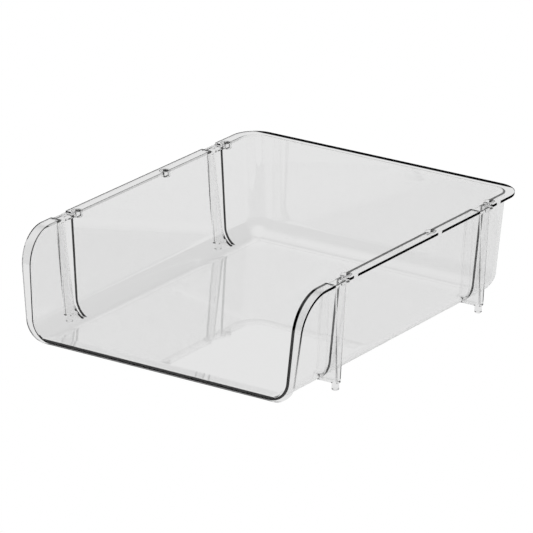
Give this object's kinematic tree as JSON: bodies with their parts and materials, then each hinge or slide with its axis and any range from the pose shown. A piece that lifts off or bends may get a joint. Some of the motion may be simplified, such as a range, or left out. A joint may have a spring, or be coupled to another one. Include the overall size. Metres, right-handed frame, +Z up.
{
  "type": "stackable letter tray",
  "caption": "Clear moulded letter tray, open at the front, with a rim flange, hollow legs ending in pegs, and rim sockets for stacking.",
  "frame": {"origin": "on the table, at the middle of the tray's width and depth", "axes": "+Z up, +Y from the open front towards the back wall, +X to the right of a person facing the open front"},
  "size_m": [0.276, 0.327, 0.0929],
  "materials": {
    "shell": "clear, polished",
    "leg": "clear, polished",
    "socket": "clear, polished"
  },
  "bodies": {
    "root": {"tray_shell": "shell", "stacking_leg_front_left": "leg", "stacking_leg_front_right": "leg", "stacking_leg_rear_left": "leg", "stacking_leg_rear_right": "leg", "peg_socket_front_left": "socket", "peg_socket_front_right": "socket", "peg_socket_middle_left": "socket", "peg_socket_middle_right": "socket", "peg_socket_rear_left": "socket", "peg_socket_rear_right": "socket"}
  },
  "joints": []
}
